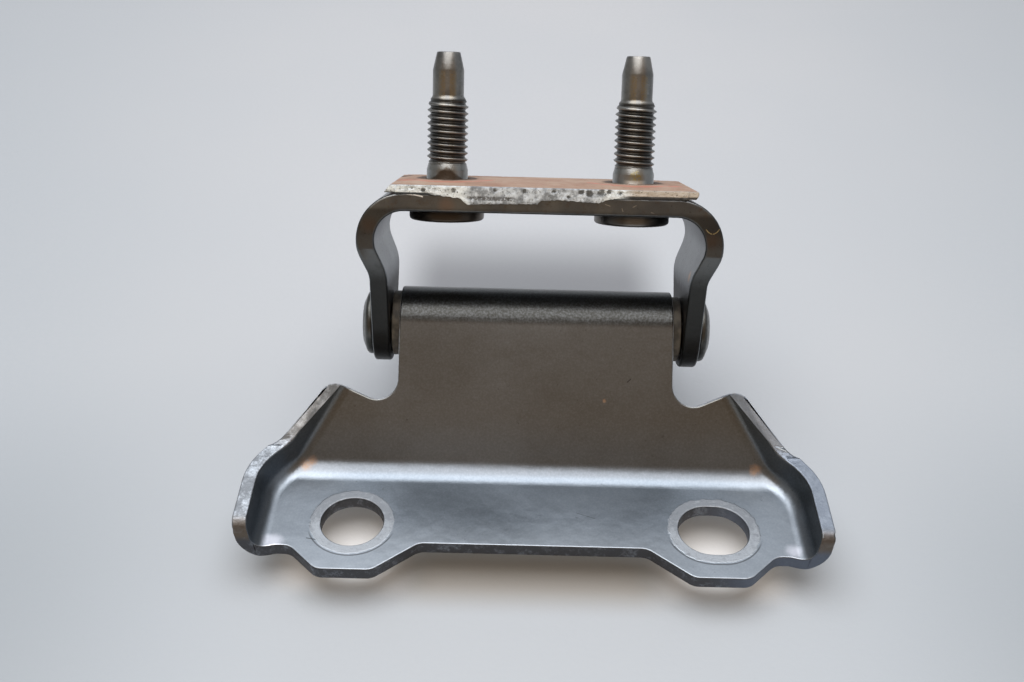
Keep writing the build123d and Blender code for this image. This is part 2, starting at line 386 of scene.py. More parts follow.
def sheared_edge(name, bright, dull, share):
    """Broken edge of the sheet: mottled, with marks from the press, with painted shade making it browner at
    the walls' front ends and duller on the right.
    """
    material, s = new_material(name)
    p = s.millimetres()
    back = s.along(BACK)
    height = s.along(UP)
    mottle = s.noise(p, 0.5, 5, 0.68, 11)
    fine = s.noise(p, 3.2, 4, 0.7, 12)
    marks = s.math("ADD", mottle, s.times(fine, 0.4))
    color = s.blend(s.span(marks, share, share + 0.26), dull, bright)
    # Painted shade: duller and bluer towards the right
    color = s.blend(s.span(s.along(ACROSS), 30.0, 40.0, 0.0, 0.8), color, s.blend(0.5, dull, EDGE_RIGHT_SHADE))
    color = s.blend(s.span(fine, 0.62, 0.74, 0, 0.7), color, SOOT_AND_SHADE)
    # Painted shade: darker and browner at the walls' front ends
    end = s.times(s.span(back, WALL_FRONT + 3.2, WALL_FRONT + 0.5), s.span(height, 4.2, 6.0), 0.85)
    color = s.blend(end, color, WALL_END_SHADE)
    metallic = s.span(height, 10.5, 8.8, 0.45, 1.0)
    rough = s.bump(fine, 0.35, 0.0001)
    s.finish(color, s.mix(mottle, 0.42, 0.60), s.bump(mottle, 0.45, 0.0004, rough), metallic)
    return material


# Roof bracket
SKIN_CLOUD = ((0.19, 0.20, 0.21), (0.27, 0.28, 0.29))
EDGE_CLOUD = ((0.165, 0.172, 0.178), (0.265, 0.262, 0.24))
EDGE_BROWN = (0.17, 0.12, 0.085)
BEND_PAINTED_LIGHT = (0.330, 0.345, 0.350)
LEG_PAINTED_SHADE = (0.090, 0.094, 0.093)
SCORCHED = (0.36, 0.235, 0.165)
NICKED = (0.85, 0.80, 0.70)
GILDED = (0.95, 0.80, 0.42)
HIGHLIGHT_WHITE = (0.80, 0.80, 0.78)
# Marks on the strap's front edge as lines, across and up from the plate's underside
STRAP_NICKS = (
    ((11.8, 2.2), (12.7, 1.9)), ((14.9, 1.5), (15.1, 1.0)),
    ((16.9, 1.8), (17.5, 2.1)), ((20.3, 0.9), (20.8, 0.8)),
)
STRAP_GILT = (
    ((30.6, -2.0), (31.0, -2.45)), ((31.0, -2.45), (31.5, -2.75)), ((31.5, -2.75), (32.1, -2.75)),
    ((32.1, -2.75), (32.6, -2.45)), ((32.6, -2.45), (33.0, -1.9)),
)
# Painted highlight along the strap's top edge at the left
STRAP_HIGHLIGHT_LINE = (
    ((-29.5, 2.6), (-27.7, 3.15)), ((-27.7, 3.15), (-25.5, 3.28)),
    ((-25.5, 3.28), (-23.2, 3.1)), ((-23.2, 3.1), (-21.8, 2.8)),
)
# Middles of the scorched spots, in the same way
STRAP_SCORCH = ((31.8, -4.1), (-31.6, -2.6), (-17.4, 1.3))


def strap_skin():
    """Flat sides of the roof bracket's strap: grey with black specks, and painted shade on the legs and
    along the front edge.
    """
    material, s = new_material("strap_skin")
    p = s.millimetres()
    cloud = s.noise(p, 0.12, 4, 0.6, 21)
    mottle = s.noise(p, 0.8, 5, 0.65, 22)
    fine = s.noise(p, 2.2, 4, 0.7, 23)
    color = s.blend(s.span(cloud, 0.35, 0.65), *SKIN_CLOUD)
    specks = s.times(s.span(fine, 0.56, 0.66), s.span(mottle, 0.40, 0.62), 0.9)
    color = s.blend(specks, color, SOOT_AND_SHADE)
    rust = s.near(on_roof(28.6, -9.0, -11.5), 0.9, 0.6, s.about_zero(mottle))
    color = s.blend(s.times(rust, 0.7), color, RUST)
    # Painted shade makes the legs' insides black from their bend down, and a strip along the front edge too
    shift = s.about_zero(mottle, 3.0)
    inside = s.span(s.math("ABSOLUTE", s.along(ACROSS)), LEG_INNER + 0.9, LEG_INNER + 0.3)
    low = s.span(s.math("ADD", s.along(LEAN_UP, ROOF), shift), -13.0, -15.5)
    color = s.blend(s.times(low, inside, 0.93), color, SOOT_AND_SHADE)
    depth = s.math("ADD", s.along(LEAN_BACK, ROOF), s.times(shift, 0.5))
    color = s.blend(s.times(s.span(depth, -12.6, -13.6), 0.8), color, SOOT_AND_SHADE)
    color = s.blend(s.times(edge_wear(s), s.span(mottle, 0.44, 0.60)), color, BARE_DULL)
    dents = s.bump(mottle, 0.2, 0.0003)
    s.finish(color, s.mix(cloud, 0.32, 0.44), s.bump(fine, 0.25, 0.00007, dents), 1.0)
    return material


def strap_edge():
    """Sheared edges of the strap: bronze-brown across the top, with painted light round the bends and
    painted shade down the legs.
    """
    material, s = new_material("strap_edge")
    p = s.millimetres()
    height = s.along(LEAN_UP, ROOF)
    cloud = s.noise(p, 0.10, 4, 0.6, 24)
    mottle = s.noise(p, 0.7, 5, 0.65, 25)
    fine = s.noise(p, 2.8, 4, 0.7, 26)
    front = -STRAP_DEPTH / 2
    color = s.blend(s.span(cloud, 0.35, 0.65), *EDGE_CLOUD)
    color = s.blend(s.span(mottle, 0.52, 0.70, 0, 0.5), color, EDGE_BROWN)
    # Painted light round the bends, then painted shade down the legs
    reach = s.math("ADD", height, s.times(mottle, 3.0))
    color = s.blend(s.span(reach, -1.0, -5.0), color, BEND_PAINTED_LIGHT)
    color = s.blend(s.span(reach, -7.0, -12.5), color, LEG_PAINTED_SHADE)
    uneven = s.about_zero(mottle)
    scorch = s.most(*(s.near(on_roof(a, front, b), 1.3, 0.9, uneven) for a, b in STRAP_SCORCH))
    color = s.blend(s.times(scorch, 0.5), color, SCORCHED)
    # Painted shade: darker from the plate's underside down, and darkest at the legs' ends
    color = s.blend(s.span(height, 1.1, 0.0, 0.0, 0.6), color, SOOT_AND_SHADE)
    color = s.blend(s.span(height, -22.5, -25.5, 0.0, 0.8), color, SOOT_AND_SHADE)
    color = s.blend(s.span(fine, 0.58, 0.70, 0, 0.45), color, SOOT_AND_SHADE)

    def marks(pairs, width):
        lines = [s.streak(on_roof(a, front, b), on_roof(c, front, d), width) for (a, b), (c, d) in pairs]
        return s.times(s.most(*lines), s.span(fine, 0.36, 0.50))

    color = s.blend(s.times(marks(STRAP_NICKS, 0.04), 0.7), color, NICKED)
    color = s.blend(s.times(marks(STRAP_GILT, 0.06), 0.85), color, GILDED)
    # Painted highlight along the top edge at the left, made less metallic
    highlight_line = marks(STRAP_HIGHLIGHT_LINE, 0.12)
    color = s.blend(highlight_line, color, HIGHLIGHT_WHITE)
    wear = s.times(edge_wear(s), s.span(mottle, 0.48, 0.62), s.span(height, -10.0, 0.0, 0.25, 1.0))
    color = s.blend(wear, color, BARE_DULL)
    dents = s.bump(mottle, 0.25, 0.0003)
    s.finish(color, s.mix(cloud, 0.30, 0.42), s.bump(fine, 0.25, 0.00007, dents), s.mix(highlight_line, 1.0, 0.2))
    return material


# Studs
STUD_CLOUD = ((0.19, 0.19, 0.185), (0.31, 0.30, 0.28))
STUD_LIGHT = (0.44, 0.44, 0.43)
SHOULDER_PALE = (0.42, 0.43, 0.42)
BRONZE = (0.36, 0.29, 0.18)
WEDGE_BROWN = (0.115, 0.088, 0.068)
SPOT_YELLOW = (0.46, 0.37, 0.13)
SHINE = (0.95, 0.94, 0.90)
HEAD_BROWN = (0.07, 0.055, 0.042)


def stud_steel():
    """Dulled steel of the studs, stained bronze on the threads and brown round the foot."""
    material, s = new_material("stud_steel")
    p = s.millimetres()
    height = s.along(LEAN_UP, ROOF)
    depth = s.along(LEAN_BACK, ROOF)
    aside = s.math("ABSOLUTE", s.math("SUBTRACT", s.math("ABSOLUTE", s.along(ACROSS)), STUD_HALF))
    cloud = s.noise(p, 0.25, 4, 0.6, 31)
    mottle = s.noise(p, 0.9, 5, 0.65, 34)
    fine = s.noise(p, 3.0, 4, 0.7, 32)
    foot = STRAP + PAD_THICKNESS
    root = foot + STUD_SHOULDER
    crown = root + STUD_THREAD
    color = s.blend(s.span(cloud, 0.35, 0.65), *STUD_CLOUD)
    color = s.blend(s.span(mottle, 0.55, 0.70, 0, 0.5), color, STUD_LIGHT)
    # Pale shoulder, dark grooves and two bronze bands that are strongest on the pilot end
    color = s.blend(s.span(height, root - 0.2, root - 0.5, 0.0, 0.5), color, SHOULDER_PALE)
    bronze = s.times(
        s.span(aside, 0.25, 0.6),
        s.span(aside, 1.9, 1.3),
        s.mix(s.span(height, crown, crown + 0.6), 0.35, 1.0),
        s.span(height, crown + 5.4, crown + 4.6),
        s.span(height, root, root + 1.5),
        s.span(fine, 0.34, 0.60),
        0.75,
    )
    color = s.blend(bronze, color, BRONZE)
    threaded = s.times(s.span(height, root, root + 0.5), s.span(height, crown, crown - 0.4))
    groove = s.times(s.span(s.length(aside, depth), 3.72, 3.45), threaded, 0.75)
    color = s.blend(groove, color, SOOT_AND_SHADE)
    # A brown wedge at the left stud's foot, and a yellow spot with a painted highlight line at the right
    # stud's
    left = s.span(s.along(ACROSS), 1.0, -1.0)
    right = s.math("SUBTRACT", 1.0, left)
    shift = s.about_zero(mottle)
    above = s.math("SUBTRACT", height, foot)
    wedge = s.math("ADD", s.math("ADD", aside, s.times(above, 1.2)), s.times(shift, 2.0))
    color = s.blend(s.times(s.span(wedge, 3.3, 2.5), left, 0.9), color, WEDGE_BROWN)
    spot = s.near(on_roof(STUD_HALF + 0.2, -4.0, foot + 1.2), 1.1, 0.5, s.times(shift, 1.5))
    color = s.blend(s.times(spot, s.span(fine, 0.40, 0.56), 0.8), color, SPOT_YELLOW)
    shine = s.times(s.span(above, 0.75, 0.30), s.span(aside, 2.5, 1.0), right, 0.8)
    color = s.blend(shine, color, SHINE)
    color = s.blend(s.span(height, STRAP, STRAP - 1.0, 0.0, 0.8), color, HEAD_BROWN)
    color = s.blend(s.span(fine, 0.60, 0.72, 0, 0.6), color, SOOT_AND_SHADE)
    dents = s.bump(mottle, 0.12, 0.0002)
    s.finish(color, s.mix(cloud, 0.26, 0.40), s.bump(fine, 0.2, 0.00006, dents), 1.0)
    return material


# Pin and bushes
PIN_CLOUD = ((0.07, 0.071, 0.067), (0.14, 0.138, 0.13))
BUSH_CLOUD = ((0.022, 0.020, 0.017), (0.075, 0.068, 0.056))


def pin_steel():
    """Dark dulled steel of the pin."""
    material, s = new_material("pin_steel")
    p = s.millimetres()
    cloud = s.noise(p, 0.3, 4, 0.6, 41)
    fine = s.noise(p, 3.0, 4, 0.7, 42)
    color = s.blend(s.span(cloud, 0.35, 0.65), *PIN_CLOUD)
    color = s.blend(s.span(fine, 0.58, 0.7, 0, 0.6), color, SOOT_AND_SHADE)
    s.finish(color, s.mix(cloud, 0.28, 0.42), s.bump(fine, 0.2, 0.00006), 1.0)
    return material


def bush_polymer():
    """Matt liner of the bushes, almost black."""
    material, s = new_material("bush_polymer")
    p = s.millimetres()
    cloud = s.noise(p, 0.6, 4, 0.6, 51)
    color = s.blend(s.span(cloud, 0.35, 0.7), *BUSH_CLOUD)
    s.finish(color, s.mix(cloud, 0.45, 0.65), s.bump(s.noise(p, 4.0, 3, 0.6, 52), 0.2, 0.00005))
    return material


# Sealing layer
COPPER_CLOUD = ((0.345, 0.200, 0.138), (0.47, 0.335, 0.250))
COPPER_PALE = (0.68, 0.60, 0.52)
CREAM_CLOUD = ((0.38, 0.41, 0.42), (0.66, 0.71, 0.73))
GREY_CLOUD = ((0.17, 0.185, 0.20), (0.52, 0.57, 0.62))
TAN = (0.37, 0.30, 0.22)
SPECK_DARK = (0.05, 0.045, 0.035)
PIT_SHADE = (0.065, 0.066, 0.064)
BAND_DARK = (0.09, 0.09, 0.09)
LIP_SHADOW = (0.03, 0.03, 0.03)
CREST_BROWN = (0.20, 0.115, 0.085)
RING_RED = (0.56, 0.21, 0.155)
STAIN_DARK = (0.05, 0.034, 0.024)
# Lower edge of the torn lip, as (place across, height above the plate's underside)
LIP_EDGE = (
    (-29.5, 2.9), (-28.1, 3.35), (-26.2, 3.5), (-22.6, 3.5), (-18.9, 3.15), (-16.1, 2.85), (-14.9, 2.65),
    (-14.2, 2.0), (-13.4, 1.55), (-9.7, 1.78), (-0.6, 1.95), (-0.2, 2.55), (3.1, 2.8), (10.5, 2.44),
    (12.6, 3.13), (16.3, 3.6), (26.9, 3.5), (28.3, 2.95), (29.5, 3.2),
)
# Pits in the lip, as (place across, height, radius)
PITS = (
    (-21.7, 4.05, 0.50), (-16.0, 4.15, 0.55), (-8.5, 4.3, 0.45), (-13.2, 2.8, 0.35), (-11.2, 2.9, 0.35),
    (-6.0, 2.8, 0.35), (-3.0, 4.25, 0.55), (2.3, 4.35, 0.50), (7.3, 4.3, 0.60), (8.8, 4.1, 0.75),
    (11.1, 4.35, 0.85), (12.4, 4.5, 0.50), (14.4, 4.4, 0.50), (5.0, 3.4, 0.35), (-23.8, 4.5, 0.30),
)


def seal_layer():
    """Copper-pink sealing layer with an off-white torn front, stained round the studs."""
    material, s = new_material("seal_layer")
    p = s.millimetres()
    across = s.along(ACROSS)
    depth = s.along(LEAN_BACK, ROOF)
    height = s.along(LEAN_UP, ROOF)
    cloud = s.noise(p, 0.16, 4, 0.6, 61)
    mottle = s.noise(p, 0.8, 5, 0.65, 62)
    fine = s.noise(p, 3.2, 4, 0.7, 63)
    shift = s.about_zero(mottle)
    copper = s.blend(s.span(cloud, 0.3, 0.7), *COPPER_CLOUD)
    copper = s.blend(s.span(fine, 0.58, 0.75, 0, 0.5), copper, COPPER_PALE)
    # Off-white cream at the left and right of the front, speckled grey between, tan at the far right
    middle = s.times(s.span(across, -14.5, -12.5), s.span(across, 12.5, 9.5))
    cream = s.blend(s.span(mottle, 0.34, 0.56), *CREAM_CLOUD)
    grey = s.blend(s.span(mottle, 0.36, 0.64), *GREY_CLOUD)
    torn = s.blend(middle, cream, grey)
    torn = s.blend(s.span(across, 14.5, 17.5, 0.0, 0.75), torn, TAN)
    torn = s.blend(s.span(fine, 0.56, 0.66), torn, SPECK_DARK)
    # Painted shade in the pits, a dark band at the left of the middle, and a painted shadow along the lower
    # rim towards both ends
    uneven = s.about_zero(s.noise(p, 1.6, 5, 0.7, 64), 2.2)
    pits = s.most(*(s.near(on_roof(a, -14.2, b), 0.8 * r, 0.18, uneven) for a, b, r in PITS))
    torn = s.blend(s.times(pits, 0.88), torn, PIT_SHADE)
    band = s.times(
        s.span(s.math("ABSOLUTE", s.math("SUBTRACT", height, 2.75)), 0.50, 0.25),
        s.span(across, -13.6, -12.8),
        s.span(across, -4.0, -6.0),
        s.span(fine, 0.40, 0.50),
    )
    torn = s.blend(band, torn, BAND_DARK)
    low_left = s.times(s.span(height, 3.66, 3.5), s.span(across, -18.5, -21.0))
    low_right = s.times(s.span(height, 3.95, 3.75), s.span(across, 14.0, 17.0))
    torn = s.blend(s.times(s.most(low_left, low_right), 0.92), torn, LIP_SHADOW)
    # The torn front meets the copper top in a ragged brown line
    front = s.span(s.math("ADD", depth, shift), -13.2, -13.8)
    color = s.blend(front, copper, torn)
    crest = s.times(front, s.math("SUBTRACT", 1.0, front), 3.2, s.span(mottle, 0.38, 0.50))
    color = s.blend(crest, color, CREST_BROWN)
    # Dark stains and a red ring round the studs
    stains = []
    reds = []
    for side in (-1, 1):
        foot = on_roof(side * STUD_HALF, 0, STRAP + PAD_THICKNESS)
        stains.append(s.near(foot, 5.9, 0.5, shift))
        away = s.math("ADD", s.vector("DISTANCE", p, tuple(foot)), shift)
        ring = s.span(s.math("ABSOLUTE", s.math("SUBTRACT", away, 9.0)), 1.1, 0.3)
        reds.append(s.times(ring, s.span(depth, -1.0, -4.0)))
    color = s.blend(s.times(s.most(*reds), 0.75), color, RING_RED)
    color = s.blend(s.times(s.most(*stains), 0.88), color, STAIN_DARK)
    flake = s.near(on_roof(-27.0, 8.0, STRAP + PAD_EDGE), 1.3, 0.4, shift)
    color = s.blend(flake, color, SOOT_AND_SHADE)
    dents = s.bump(mottle, 0.4, 0.0004)
    s.finish(color, s.mix(mottle, 0.5, 0.75), s.bump(fine, 0.4, 0.00015, dents))
    return material


# Pieces
WELD = 1e-6
FLAT = math.radians(0.4)
SHARP = math.radians(38)


def plain_copy(node):
    """The node's mesh as a new welded bmesh without its stored normals."""
    source = frame["nodes"][node].data
    bm = bmesh.new()
    verts = [bm.verts.new(v.co) for v in source.vertices]
    for polygon in source.polygons:
        bm.faces.new([verts[i] for i in polygon.vertices])
    bmesh.ops.remove_doubles(bm, verts=bm.verts[:], dist=WELD)
    bmesh.ops.recalc_face_normals(bm, faces=bm.faces[:])
    return bm


def smooth_piece(bm, name):
    """An object from a bmesh, which is used up, with every face shaded smooth."""
    mesh = bpy.data.meshes.new(name)
    bm.to_mesh(mesh)
    bm.free()
    mesh.polygons.foreach_set("use_smooth", [True] * len(mesh.polygons))
    return link(name, mesh)


def round_edges(piece, width, segments, **settings):
    """Rounds the edges that the settings choose, and keeps the faces between them flat."""
    bevel = piece.modifiers.new("rounded_edges", "BEVEL")
    bevel.width = width * MM
    bevel.segments = segments
    for name, value in settings.items():
        setattr(bevel, name, value)
    normals = piece.modifiers.new("flat_faces", "WEIGHTED_NORMAL")
    normals.keep_sharp = True
    return normals


def skin_or_edge(bm, thickness, lobe):
    """Marks with material 1 each face behind which the metal isn't one sheet thick.

    Within the lobe's reach of the pin's axis, each face that doesn't look along the pin is an edge too.
    """
    inward = 1e-5
    tree = BVHTree.FromBMesh(bm)
    for face in bm.faces:
        middle = face.calc_center_median()
        found = tree.ray_cast(middle - face.normal * inward, -face.normal)
        depth = found[3] if found[0] is not None else 1.0
        away = middle - PIVOT
        rim = math.hypot(away.y, away.z) < lobe and abs(face.normal.x) < 0.3
        face.material_index = 0 if abs(depth - thickness) < 0.16 * thickness and not rim else 1


# Reach of the round lobes at the legs' ends, from the pin's axis
LOBE_REACH = 0.0095
# Walls' front top corners: least distance from the middle, front, height, radius and lean in degrees
WALL_CORNER = (0.047, WALL_FRONT * MM, RIM_TOP * MM, 0.0028, 8.0)
CORNER_STEPS = 7
CORNER_WELD = 3e-4


def round_corners(bm, reach, front, top, radius, flare):
    """Rounds the walls' front top corners, about lines across the hinge, with the walls' lean kept."""
    centre = Vector((0, front + radius, top - radius))
    for side in (-1, 1):
        for step in range(1, CORNER_STEPS):
            turn = math.radians(90 * step / CORNER_STEPS)
            walls = [face for face in bm.faces if all(v.co.x * side > reach for v in face.verts)]
            edges = list({e for f in walls for e in f.edges})
            verts = list({v for f in walls for v in f.verts})
            normal = (0, math.sin(turn), math.cos(turn))
            bmesh.ops.bisect_plane(
                bm, geom=walls + edges + verts, dist=WELD, plane_co=centre, plane_no=normal
            )
        for v in bm.verts:
            away = Vector((0, v.co.y - centre.y, v.co.z - centre.z))
            if v.co.x * side > reach and away.y < 0 and away.z > 0 and away.length > radius:
                level = v.co.z
                v.co.y, v.co.z = (centre + away * radius / away.length).yz
                v.co.x -= side * math.tan(math.radians(flare)) * (level - v.co.z)
    # The cuts leave points so close together that the bevel would bulge there
    back, low = centre.y + CORNER_WELD, centre.z - CORNER_WELD
    corner = [v for v in bm.verts if abs(v.co.x) > reach and v.co.y < back and v.co.z > low]
    bmesh.ops.remove_doubles(bm, verts=corner, dist=CORNER_WELD)


def dressed(node, materials, thickness, wide, narrow, corner=None, lobe=0.0):
    """A copy of a sheet-metal node with a material each for skins, upper edges and the other edges.

    The upper edges are rounded by the wide width and the others by the narrow one, in millimetres.
    """
    bm = plain_copy(node)
    if corner:
        round_corners(bm, *corner)
    skin_or_edge(bm, thickness, lobe)
    for face in bm.faces:
        high = face.calc_center_median().z > 7.5 * MM
        if face.material_index == 1 and face.normal.z < (-0.2 if high else 0.25):
            face.material_index = 2
    bmesh.ops.dissolve_limit(
        bm, angle_limit=FLAT, verts=bm.verts[:], edges=bm.edges[:], delimit={"MATERIAL"}
    )
    weight = bm.edges.layers.float.new("bevel_weight_edge")
    for edge in bm.edges:
        if edge.calc_face_angle(0.0) > SHARP:
            top = any(face.material_index == 1 for face in edge.link_faces)
            edge[weight] = 1.0 if top else narrow / wide
    piece = smooth_piece(bm, node + "_dressed")
    for material in materials:
        piece.data.materials.append(material)
    normals = round_edges(piece, wide, segments=4, limit_method="WEIGHT", use_clamp_overlap=False)
    normals.weight = 90
    return piece


def rounded_copy(node, width):
    """A copy of a turned node with its edges rounded."""
    bm = plain_copy(node)
    bmesh.ops.dissolve_limit(bm, angle_limit=FLAT, verts=bm.verts[:], edges=bm.edges[:])
    piece = smooth_piece(bm, node + "_dressed")
    round_edges(piece, width, segments=2, limit_method="ANGLE", angle_limit=math.radians(35))
    return piece


THREAD_PITCH = 1.25
THREAD_ROOT = 3.36
THREAD_CREST = 3.95
# Places in one turn of the thread where its profile has a row of points
THREAD_ROWS = (0.0, 0.09, 0.18, 0.29, 0.40, 0.46, 0.54, 0.60, 0.71, 0.82, 0.91)
STUD_TURN = 72
NECK = 3.6
PILOT_ROOT = 3.28
# Outlines as (radius, height): head above the plate's underside, neck and pilot end from the thread's ends
HEAD = ((6.55, -2.7), (6.95, -2.62), (7.22, -2.38), (7.3, -2.1), (7.3, -0.12), (7.18, 0.0), (4.0, 0.0))
NECK_END = ((4.0, -1.45), (3.97, -1.22), (3.9, -1.0), (3.68, -0.15), (NECK, 0.0))
PILOT = (
    (PILOT_ROOT, 0.0), (3.06, 0.22), (3.0, 0.6), (3.0, 5.1),
    (2.97, 5.35), (2.27, 8.42), (2.18, 8.56), (2.02, 8.6),
)


def thread_radius(share):
    """Radius across one turn of the thread, from root to crest and back."""
    rise = min(max((abs(share - 0.5) - 0.07) / 0.30, 0.0), 1.0)
    return THREAD_CREST + (THREAD_ROOT - THREAD_CREST) * rise


def stud_piece(name, side):
    """Turned stud with a real helical thread, made along its own axis and then placed."""
    thread_start = STRAP + PAD_THICKNESS + STUD_SHOULDER
    thread_end = thread_start + STUD_THREAD
    bm = bmesh.new()

    def point(radius, height, j):
        angle = 2 * math.pi * j / STUD_TURN
        return bm.verts.new((radius * math.cos(angle), radius * math.sin(angle), height))

    def revolve(profile):
        rings = [[point(r, h, j) for j in range(STUD_TURN)] for r, h in profile]
        for lower, upper in zip(rings, rings[1:]):
            for j in range(STUD_TURN):
                k = (j + 1) % STUD_TURN
                bm.faces.new((lower[j], lower[k], upper[k], upper[j]))
        return rings

    below = revolve([*HEAD, *((r, thread_start + h) for r, h in NECK_END)])
    bm.faces.new(list(reversed(below[0])))
    above = revolve([(r, thread_end + h) for r, h in PILOT])
    bm.faces.new(above[-1])
    # The thread starts below the neck and ends above the pilot's root, and its ends are pressed flat there
    rows = len(THREAD_ROWS)
    count = (int(STUD_THREAD / THREAD_PITCH) + 5) * rows
    grid = []
    for i in range(count):
        line = []
        for j in range(STUD_TURN):
            share = THREAD_ROWS[i % rows]
            height = thread_start + THREAD_PITCH * (i // rows + share + j / STUD_TURN - 2)
            if height <= thread_start:
                height, radius = thread_start, NECK
            elif height >= thread_end:
                height, radius = thread_end, PILOT_ROOT
            else:
                run_in = NECK + (height - thread_start) * 0.55
                run_out = PILOT_ROOT + (thread_end - height) * 0.45
                radius = min(thread_radius(share), run_in, run_out)
            line.append(point(radius, height, j))
        grid.append(line)

    def next_to(i, j):
        """The point after j in row i, where the last one is followed by the first of one turn higher."""
        return grid[i][j + 1] if j + 1 < STUD_TURN else grid[i + rows][0]

    for i in range(count - rows):
        for j in range(STUD_TURN):
            if j + 1 < STUD_TURN or i + 1 + rows < count:
                bm.faces.new((grid[i][j], next_to(i, j), next_to(i + 1, j), grid[i + 1][j]))
    bmesh.ops.remove_doubles(bm, verts=bm.verts[:], dist=1e-5)
    loose = [v for v in bm.verts if not v.link_faces]
    bmesh.ops.delete(bm, geom=loose, context="VERTS")
    axes = Matrix((ACROSS, -LEAN_BACK, LEAN_UP)).transposed()
    foot = ROOF + ACROSS * side * STUD_HALF * MM
    for v in bm.verts:
        v.co = axes @ (v.co * MM) + foot
    bmesh.ops.recalc_face_normals(bm, faces=bm.faces[:])
    return smooth_piece(bm, name)


PAD_VOXEL = 0.26


def lip_height(x):
    """Height of the torn lip's lower edge at a place across."""
    for (x0, h0), (x1, h1) in zip(LIP_EDGE, LIP_EDGE[1:]):
        if x <= x1:
            share = max(0.0, (x - x0) / (x1 - x0))
            return h0 + (h1 - h0) * share
    return LIP_EDGE[-1][1]


def seal_piece():
    """The sealing layer, with its lip torn along a ragged edge and pitted."""
    bm = plain_copy("seal_pad")
    mesh = bpy.data.meshes.new("seal_dressed")
    bm.to_mesh(mesh)
    bm.free()
    rough = link("seal_rough", mesh)
    remesh = rough.modifiers.new("remesh", "REMESH")
    remesh.mode = "VOXEL"
    remesh.voxel_size = PAD_VOXEL * MM
    graph = bpy.context.evaluated_depsgraph_get()
    dense = bpy.data.meshes.new_from_object(rough.evaluated_get(graph))
    bpy.data.objects.remove(rough)
    crease = STRAP + PAD_EDGE - 0.2
    lowest = STRAP - 1.2
    front = -STRAP_DEPTH / 2
    for v in dense.vertices:
        offset = (v.co - ROOF) * 1000
        x, y, z = offset.x, offset.dot(LEAN_BACK), offset.dot(LEAN_UP)
        seed = Vector((x, y, z))
        if y < front + 0.05:
            # The lip: stretched down to its torn edge, swollen unevenly and pitted
            low = lip_height(x) + 0.16 * noise.noise(seed * 1.9) + 0.12 * noise.noise(seed * 5.0)
            if z < crease:
                z = crease - (crease - z) * (crease - low) / (crease - lowest)
            depth = y - front
            swell = 0.78 + 0.45 * noise.noise(seed * 0.8) + 0.3 * noise.noise(seed * 2.6)
            for px, pz, radius in PITS:
                away = math.hypot((x - px), (z - pz) * 1.3) + 0.2 * noise.noise(seed * 2.2)
                if away < radius:
                    swell -= 1.3 * (1 - (away / radius) ** 2)
            if depth < -0.05:
                y = front + depth * min(max(swell, 0.05), 1.0)
        elif z > STRAP + 0.3 and abs(y) < STRAP_DEPTH / 2 - 0.1:
            # The top: slightly uneven
            z -= 0.04 + 0.10 * abs(noise.noise(seed * 0.5)) + 0.05 * abs(noise.noise(seed * 2.5))
        # The left end leans in towards its top, and the right end towards its foot
        rise = (z - STRAP) / PAD_EDGE
        if x < 0 and rise > 0:
            x += 1.2 * rise * max(0.0, (-x - PAD_HALF + 3.5) / 3.5)
        elif rise < 0.5:
            x -= 0.8 * (0.5 - rise) * max(0.0, (x - PAD_HALF + 2.0) / 2.0)
        v.co = on_roof(x, y, z) * MM
    dense.polygons.foreach_set("use_smooth", [True] * len(dense.polygons))
    return link("seal_dressed", dense)


# Stage
FLOOR_DROP = 0.0055
FLOOR_HALF = 3.0
FLOOR_CLOUD = ((0.585, 0.612, 0.648), (0.61, 0.630, 0.660))
FLOOR_SIDE_SHADE = (0.45, 0.495, 0.54)
FLOOR_WEAVE = (0.54, 0.565, 0.60)
FLOOR_FRONT_SHADE = (0.475, 0.520, 0.570)
FLOOR_SHADE = (0.18, 0.185, 0.20)
FLOOR_LIGHT_UNDER = (0.82, 0.82, 0.82)
FLOOR_SHADOW_FRONT = (0.30, 0.27, 0.23)
FLOOR_CORNER_SHADE = (0.37, 0.41, 0.45)


